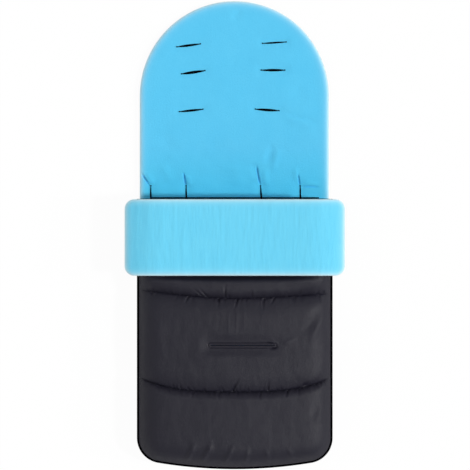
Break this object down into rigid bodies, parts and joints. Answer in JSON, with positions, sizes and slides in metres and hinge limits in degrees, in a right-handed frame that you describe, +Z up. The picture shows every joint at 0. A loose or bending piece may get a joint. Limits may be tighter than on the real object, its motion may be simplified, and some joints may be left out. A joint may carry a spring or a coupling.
{
  "type": "stroller footmuff",
  "caption": "Padded stroller footmuff lying flat: slotted fleece-lined mat, zipped quilted cover with a toe box, and a turned-down fleece cuff.",
  "frame": {"origin": "on the surface that the footmuff lies on, under the middle of its outline", "axes": "+Y towards the head end, +Z up out of the lining, +X to the right seen from above with the head end up"},
  "size_m": [0.45, 0.96, 0.1259],
  "materials": {
    "polyester_shell": "black woven polyester with a faint sheen",
    "fleece": "sky-blue brushed fleece",
    "wadding": "white polyester wadding",
    "trim": "black woven tape and stitching",
    "zip_plastic": "black nylon coil",
    "zip_metal": "black enamelled zinc"
  },
  "bodies": {
    "mat": {"back_shell": "polyester_shell", "back_wadding": "wadding", "back_lining": "fleece", "shoulder_slot_left_upper_binding": "trim", "shoulder_slot_right_upper_binding": "trim", "shoulder_slot_left_middle_binding": "trim", "shoulder_slot_right_middle_binding": "trim", "shoulder_slot_left_lower_binding": "trim", "shoulder_slot_right_lower_binding": "trim", "waist_slot_left_outer_binding": "trim", "waist_slot_left_inner_binding": "trim", "waist_slot_right_inner_binding": "trim", "waist_slot_right_outer_binding": "trim", "crotch_slot_binding": "trim", "toe_shell": "polyester_shell", "toe_wadding": "wadding", "toe_lining": "fleece", "toe_piping": "trim", "foot_wall": "polyester_shell", "mat_zip_tape_left": "trim", "mat_zip_tape_right": "trim", "mat_coil_left": "zip_plastic", "mat_coil_right": "zip_plastic", "bottom_stop_left": "zip_metal", "bottom_stop_right": "zip_metal", "mat_top_stop_left": "zip_metal", "mat_top_stop_right": "zip_metal"},
    "lid": {"lid_shell": "polyester_shell", "lid_wadding": "wadding", "lid_lining": "fleece", "lid_welt": "polyester_shell", "mouth_hem": "trim", "lid_piping_left": "trim", "lid_piping_right": "trim", "lid_zip_tape_left": "trim", "lid_zip_tape_right": "trim", "lid_coil_left": "zip_plastic", "lid_coil_right": "zip_plastic", "lid_top_stop_left": "zip_metal", "lid_top_stop_right": "zip_metal"},
    "cuff": {"cuff_face": "fleece", "cuff_back": "fleece", "cuff_wadding": "wadding"},
    "left_slider": {"slider_left": "zip_metal"},
    "right_slider": {"slider_right": "zip_metal"},
    "left_pull": {"pull_left": "zip_metal"},
    "right_pull": {"pull_right": "zip_metal"}
  },
  "joints": [
    {"name": "lid_fold", "type": "hinge", "parent": "mat", "child": "lid", "pos_m": [0, -0.306, 0.1063], "axis": [1, 0, 0], "range_deg": [0, 165]},
    {"name": "cuff_turn", "type": "hinge", "parent": "lid", "child": "cuff", "pos_m": [0, 0.074, 0.1063], "axis": [-1, 0, 0], "range_deg": [0, 170]},
    {"name": "left_zip_slide", "type": "slide", "parent": "mat", "child": "left_slider", "axis": [0, -1, 0], "range_m": [0, 0.335]},
    {"name": "right_zip_slide", "type": "slide", "parent": "mat", "child": "right_slider", "axis": [0, -1, 0], "range_m": [0, 0.335]},
    {"name": "left_pull_swing", "type": "hinge", "parent": "left_slider", "child": "left_pull", "pos_m": [-0.2012, 0.055, 0.0325], "axis": [0, 0, -1], "range_deg": [0, 170]},
    {"name": "right_pull_swing", "type": "hinge", "parent": "right_slider", "child": "right_pull", "pos_m": [0.2012, 0.055, 0.0325], "axis": [0, 0, 1], "range_deg": [0, 170]}
  ]
}
